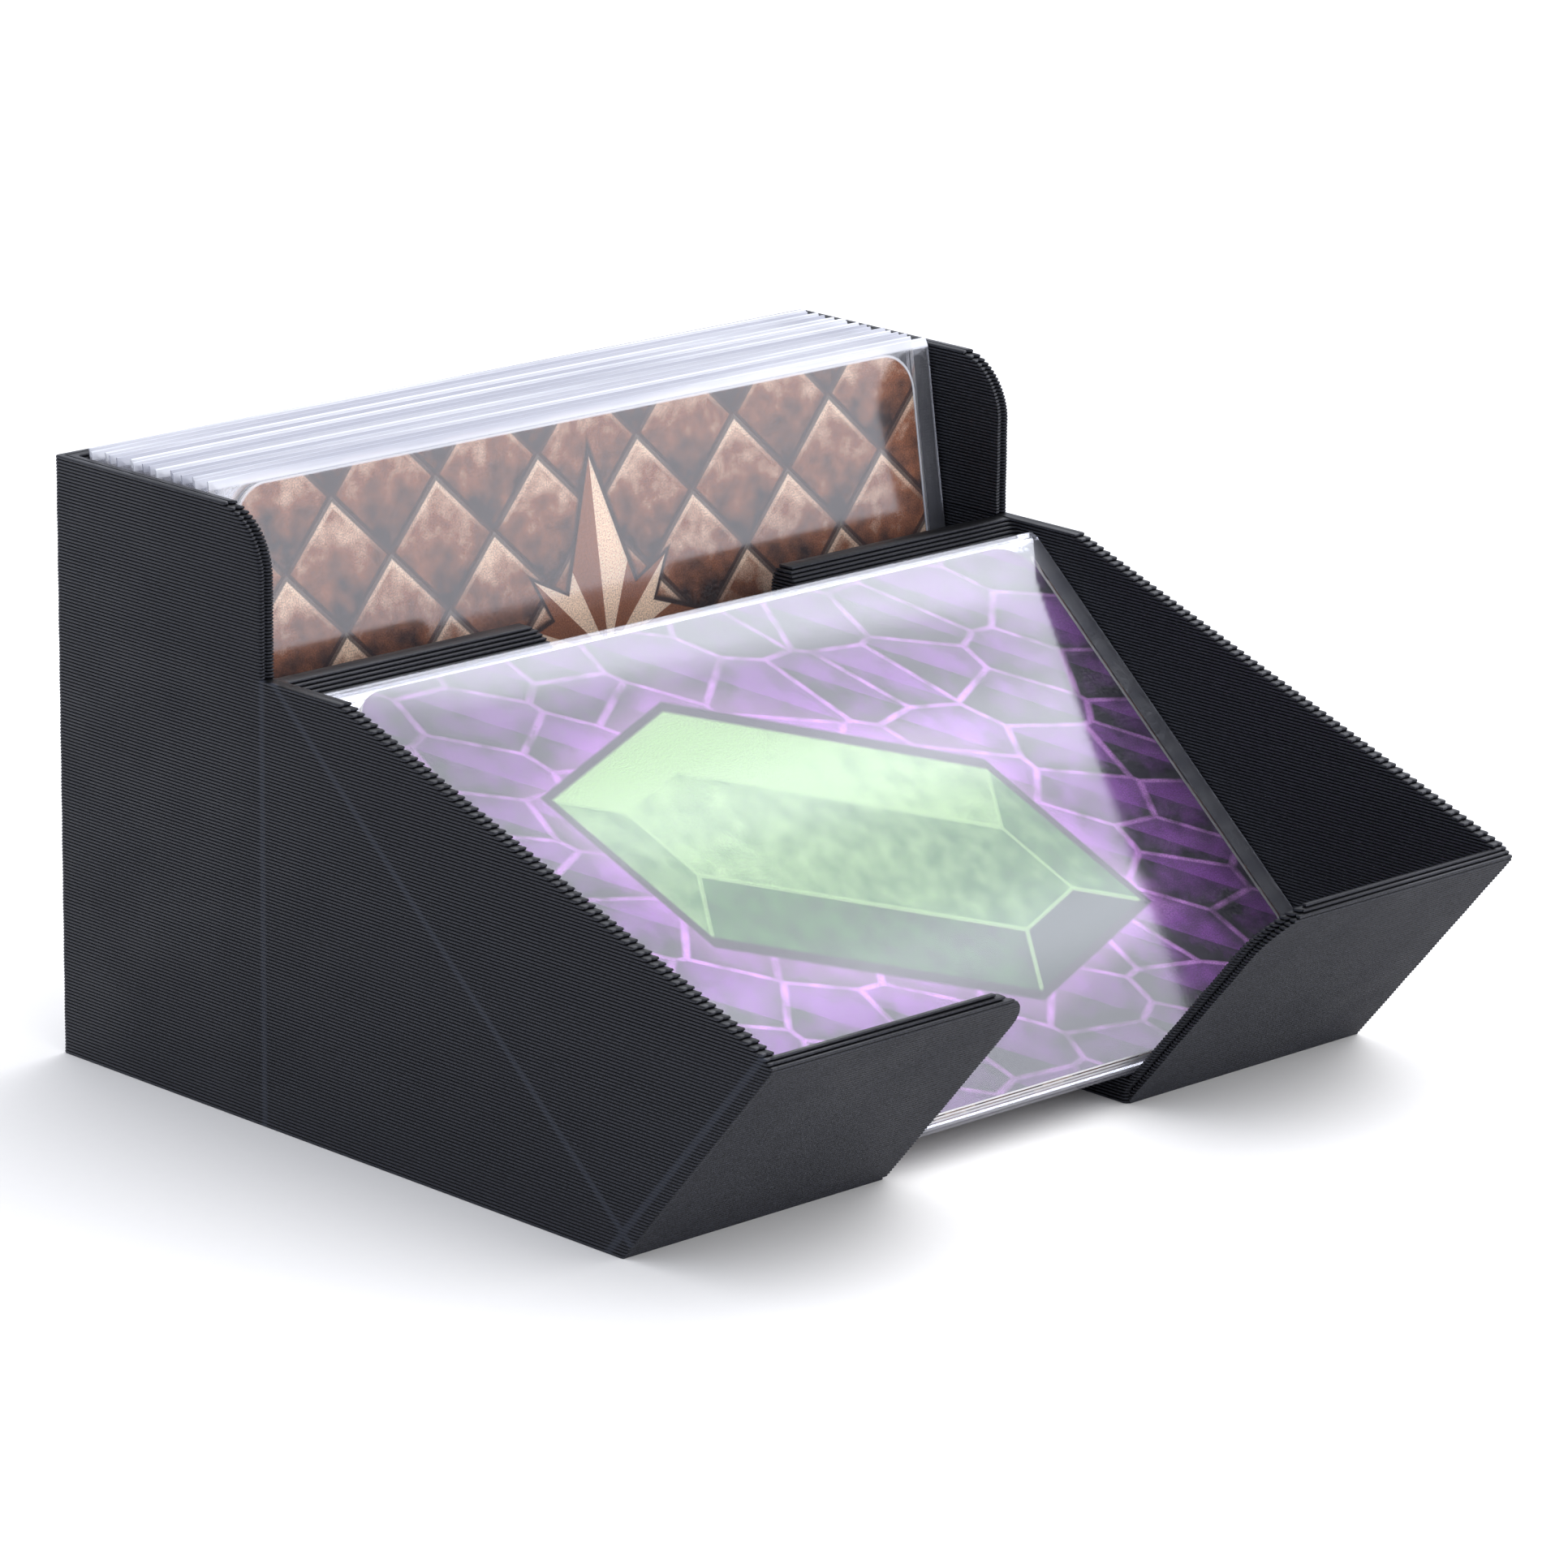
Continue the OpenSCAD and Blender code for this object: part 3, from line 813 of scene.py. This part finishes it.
def face_print(settings):
    """Coated card stock, offset printed: violet crystals with bright edges and one long green
    shard of cut facets laid across them, under a satin coating."""
    material, node = new_material("coated card, printed face")
    place = node("UVMap", uv_map="flat")
    turned = node("VectorRotate", {"Vector": place, "Angle": -settings.shard_turn}, rotation_type="Z_AXIS")
    # Crystals twice as long as wide, lying along the shard, each with a lit and a shaded facet
    long = node("VectorMath.MULTIPLY", [turned, (0.5, 1, 1)])
    grid = {"Vector": long, "Scale": MM / settings.crystal, "Randomness": 0.85}
    edge = node("TexVoronoi", grid, feature="DISTANCE_TO_EDGE", voronoi_dimensions="2D")
    cell = node("TexVoronoi", grid, voronoi_dimensions="2D").node
    lot = node("SeparateColor", [cell.outputs["Color"]])
    within = node("VectorMath.SUBTRACT", [long, cell.outputs["Position"]])
    ridge = node("VectorMath.DOT_PRODUCT", [within, (0.35, 1, 0)], output="Value")
    lit = node("MapRange", [ridge, -0.05, 0.05, 0.0, 0.35])
    # Brush strokes of the picture, 2 mm
    stroke = node("TexNoise", {"Vector": place, "Scale": 1 / 2, "Detail": 5.0})
    tone = node("Math.MULTIPLY_ADD", [lot, 0.3, stroke])
    tone = node("Math.ADD", [tone, lit])
    shadow = node("MapRange", [edge, 0.05, 0.3, -0.25, 0.0])
    tone = node("Math.ADD", [tone, shadow])
    ink = node("MapRange", [tone, 0.45, 1.05])
    ink = blend(node, ink, settings.face_dark, settings.face_mid)
    glow = node("MapRange", [edge, 0.02, 0.055, 1.0, 0.0])
    touch = node("MapRange", [stroke, 0.35, 0.65, 0.25, 1.0])
    glow = node("Math.MULTIPLY", [glow, touch])
    picture = blend(node, glow, ink, settings.face_light)
    # The picture darkens towards the card's edges
    near = node("VectorMath.MULTIPLY", [place, (2 * MM / settings.width, 2 * MM / settings.height, 0)])
    near = node("VectorMath.ABSOLUTE", [near])
    near = node("SeparateXYZ", [near]).node.outputs
    near = node("Math.SMOOTH_MAX", [near[0], near[1], 0.15])
    fade = node("MapRange", [near, 0.5, 1.0, 1.0, 0.4])
    picture = node("VectorMath.SCALE", {0: picture, "Scale": fade})
    # Shard: p runs along it and q across it. It narrows to a point beyond the shoulders, and its
    # table is the level middle. Both are shares of its half length and half width.
    shoulder, table = 0.55, 0.45
    apart = node("SeparateXYZ", [turned]).node
    p = node("Math.MULTIPLY", [apart.outputs[0], MM / settings.shard_length])
    q = node("Math.MULTIPLY", [apart.outputs[1], MM / settings.shard_width])
    p_size = node("Math.ABSOLUTE", [p])
    q_size = node("Math.ABSOLUTE", [q])
    taper = node("MapRange", [p_size, shoulder, 1.0], clamp=False)
    taper = node("Math.MAXIMUM", [taper, 0.0])
    reach = node("Math.ADD", [q_size, taper])
    # Facets round a table: lighter above it, darker below it and towards one end
    crown = node("Math.GREATER_THAN", [reach, table])
    above = node("Math.GREATER_THAN", [q, 0.0])
    side = node("MapRange", [above, 0.0, 1.0, 0.2, 0.7])
    level = node("Mix", {"Factor": crown, 2: 0.5, 3: side})
    for start, way, change in ((shoulder, "GREATER_THAN", -0.2), (-shoulder, "LESS_THAN", 0.15)):
        end = node(f"Math.{way}", [p, start])
        end = node("Math.MULTIPLY", [end, crown])
        level = node("Math.MULTIPLY_ADD", [end, change, level])
    shade = node("Math.MULTIPLY_ADD", [p, -0.2, level])
    shade = node("Math.MULTIPLY_ADD", [stroke, 0.6, shade])
    green = node("ValToRGB", [shade])
    ramp = green.node.color_ramp
    ramp.elements[0].position, ramp.elements[0].color = 0.3, settings.shard_dark
    ramp.elements[1].position, ramp.elements[1].color = 1.0, settings.shard_light
    ramp.elements.new(0.65).color = settings.shard_mid
    # Light lines where the facets meet: round the table, and from its corners outwards
    cross = node("Math.COMPARE", [p_size, shoulder, 0.008])
    ridge = node("Math.COMPARE", [q_size, 0.0, 0.02])
    line = node("Math.MAXIMUM", [cross, ridge])
    line = node("Math.MULTIPLY", [line, crown])
    around = node("Math.COMPARE", [reach, table, 0.02])
    line = node("Math.MAXIMUM", [line, around])
    line = node("Math.MULTIPLY", [line, 0.7])
    green = blend(node, line, green, settings.shard_light)
    halo = node("MapRange", [reach, 1.0, 1.4, 0.35, 0.0], interpolation_type="SMOOTHSTEP")
    picture = blend(node, halo, picture, settings.face_light)
    rim = node("MapRange", [reach, 1.05, 1.08, 1.0, 0.0])
    picture = blend(node, rim, picture, settings.face_dark)
    core = node("MapRange", [reach, 0.96, 0.99, 1.0, 0.0])
    picture = blend(node, core, picture, green)
    press(node, place, picture)
    return material


def cut_edge(settings):
    """Edge of the card stock where the die cut it: off-white, matt paper fibres."""
    material, node = new_material("card stock, die-cut edge")
    place = node("TexCoord", output="Object")
    # Paper fibres, 0.2 mm
    fibre = node("TexNoise", {"Vector": place, "Scale": 1 / (0.2 * MM), "Detail": 3.0})
    tone = blend(node, fibre, settings.stock, [0.8 * part for part in settings.stock])
    shader = node("BsdfPrincipled", {"Base Color": tone, "Roughness": 0.8, "IOR": 1.5})
    node("OutputMaterial", {"Surface": shader})
    return material


class PrintCards(bpy.types.Operator):
    """Builds the cards of both piles: backs outward in the draw box, faces up in the tray"""

    bl_idname = "cardholder.cards"
    bl_label = "Print the cards"

    def execute(self, context):
        settings = context.scene.cards
        sleeves = context.scene.card_sleeves
        back, face, edge = back_print(settings), face_print(settings), cut_edge(settings)
        for pile, number, *axes in pile_members():
            name = f"{pile}_card_{number:02d}"
            rings = card_rings(settings,
                               lambda across, up: bowed(pile, number, across, up, sleeves))
            local, faces = tube(rings)
            sides = [back, face] if pile == "draw" else [face, back]
            card = new_object(f"printed_{name}", lay(name, local, axes), faces, [*sides, edge])
            flat_map(card, local)
            normals = np.empty(3 * len(faces))
            card.data.polygons.foreach_get("normal", normals)
            facing = normals.reshape(-1, 3) @ axes[2]
            slots = np.where(facing > 0.7, 0, np.where(facing < -0.7, 1, 2))
            card.data.polygons.foreach_set("material_index", slots.astype(np.int32))
            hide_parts(name)
            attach(card, f"{pile}_{number:02d}")
        return {"FINISHED"}


def studio_floor(settings):
    """Matt white seamless paper, almost even."""
    material, node = new_material("seamless paper, matt")
    place = node("TexCoord", output="Object")
    # Paper tooth, 1 mm
    tooth = node("TexNoise", {"Vector": place, "Scale": 1 / MM, "Detail": 2.0})
    tone = blend(node, tooth, settings.floor, [0.98 * part for part in settings.floor])
    shader = node("BsdfPrincipled", {"Base Color": tone, "Roughness": 0.9, "Specular IOR Level": 0.2})
    node("OutputMaterial", {"Surface": shader})
    return material


class SetStage(bpy.types.Operator):
    """Builds the floor, the light and the camera"""

    bl_idname = "cardholder.stage"
    bl_label = "Set the stage"

    def execute(self, context):
        settings = context.scene.card_stage
        scene = context.scene
        reach = 0.7
        corners = np.array([(-reach, -reach, 0), (reach, -reach, 0), (reach, reach, 0), (-reach, reach, 0)])
        floor = new_object("studio_floor", corners, [[0, 1, 2, 3]], [studio_floor(settings)])

        world = bpy.data.worlds.new("white studio")
        world.use_nodes = True
        world.node_tree.nodes.clear()
        node = partial(add, world.node_tree)
        bright_from, window_from = (0.70, -0.35, 0.62), (0.74, 0.15, 0.65)
        direction = node("TexCoord", output="Generated")
        facing = node("VectorMath.DOT_PRODUCT", [direction, bright_from], output="Value")
        brightest = settings.light + settings.bright_side
        strength = node("MapRange", [facing, 0.35, 1.0, settings.light, brightest])
        window = node("VectorMath.DOT_PRODUCT", [direction, window_from], output="Value")
        window = node("MapRange", [window, 0.93, 0.97, 0.0, settings.window],
                      interpolation_type="SMOOTHSTEP")
        strength = node("Math.ADD", [strength, window])
        side = node("MapRange", [facing, -0.4, 0.6])
        tint = blend(node, side, settings.sky, settings.lamp)
        light = node("Background", {"Color": tint, "Strength": strength})
        node("OutputWorld", {"Surface": light})
        scene.world = world

        lens = bpy.data.cameras.new("camera")
        lens.lens = settings.lens
        lens.sensor_width = 36
        lens.clip_start, lens.clip_end = 0.01, 100
        camera = bpy.data.objects.new("camera", lens)
        scene.collection.objects.link(camera)
        back = Vector((math.sin(settings.turn) * math.cos(settings.rise),
                       -math.cos(settings.turn) * math.cos(settings.rise), math.sin(settings.rise)))
        level = (-back).to_track_quat("-Z", "Y").to_matrix()
        turned = level @ Matrix.Rotation(settings.roll, 3, "Z")
        place = turned.to_4x4()
        place.translation = Vector(settings.aim) + back * settings.distance
        camera.matrix_world = place
        scene.camera = camera
        scene.view_settings.view_transform = "Standard"
        return {"FINISHED"}


class CardHolderPanel(bpy.types.Panel):
    """Buttons for the pieces"""

    bl_idname = "VIEW3D_PT_card_holder"
    bl_label = "Card holder"
    bl_space_type = "VIEW_3D"
    bl_region_type = "UI"
    bl_category = "Card holder"

    def draw(self, context):
        for operator in OPERATORS:
            self.layout.operator(operator.bl_idname)


OPERATORS = (PrintHolder, FillSleeves, PrintCards, SetStage)
GROUPS = {"card_holder": HolderSettings, "card_sleeves": SleeveSettings,
          "cards": CardSettings, "card_stage": StageSettings}


def register():
    """Adds the settings, the operators and the panel."""
    for group in GROUPS.values():
        bpy.utils.register_class(group)
    for name, group in GROUPS.items():
        setattr(bpy.types.Scene, name, PointerProperty(type=group))
    for operator in OPERATORS:
        bpy.utils.register_class(operator)
    bpy.utils.register_class(CardHolderPanel)


def unregister():
    """Takes them out again."""
    bpy.utils.unregister_class(CardHolderPanel)
    for operator in OPERATORS:
        bpy.utils.unregister_class(operator)
    for name, group in GROUPS.items():
        delattr(bpy.types.Scene, name)
        bpy.utils.unregister_class(group)


def main():
    """Builds the scene."""
    register()
    bpy.ops.cardholder.stage()
    bpy.ops.cardholder.print_holder()
    bpy.ops.cardholder.sleeves()
    bpy.ops.cardholder.cards()


if __name__ == "__main__":
    main()
